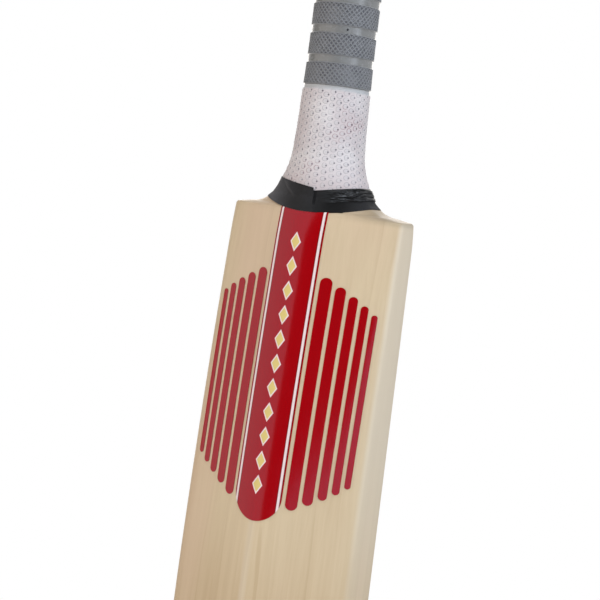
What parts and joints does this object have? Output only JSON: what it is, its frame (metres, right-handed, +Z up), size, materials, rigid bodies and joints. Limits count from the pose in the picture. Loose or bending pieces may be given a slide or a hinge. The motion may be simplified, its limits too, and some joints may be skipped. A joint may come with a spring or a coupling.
{
  "type": "cricket bat",
  "caption": "Cricket bat: carved willow blade, V-spliced cane handle, banded rubber grip, perforated neck wrap, black shoulder tape and red striped films on the back.",
  "frame": {"origin": "the point of the flat toe that lies on the handle's axis", "axes": "+Z up the handle's axis from the toe, +Y out of the hitting face, -Y out of the spine, +X to the right as seen from the spine side"},
  "size_m": [0.108, 0.0619, 0.857],
  "materials": {
    "willow": "sanded and oiled",
    "cane": "sanded",
    "spring_rubber": "matt",
    "twine": "waxed",
    "wrap": "matt, perforated",
    "tape": "satin",
    "grip_rubber": "matt, lattice on the bands",
    "film": "gloss print"
  },
  "bodies": {
    "root": {"blade": "willow", "cane_front_left": "cane", "cane_front_centre": "cane", "cane_front_right": "cane", "cane_midfront_left": "cane", "cane_midfront_centre": "cane", "cane_midfront_right": "cane", "cane_midback_left": "cane", "cane_midback_centre": "cane", "cane_midback_right": "cane", "cane_back_left": "cane", "cane_back_centre": "cane", "cane_back_right": "cane", "spring_front": "spring_rubber", "spring_centre": "spring_rubber", "spring_back": "spring_rubber", "binding_twine": "twine", "neck_wrap": "wrap", "shoulder_tape": "tape", "grip": "grip_rubber", "decal_centre": "film", "decal_left": "film", "decal_right": "film"}
  },
  "joints": []
}
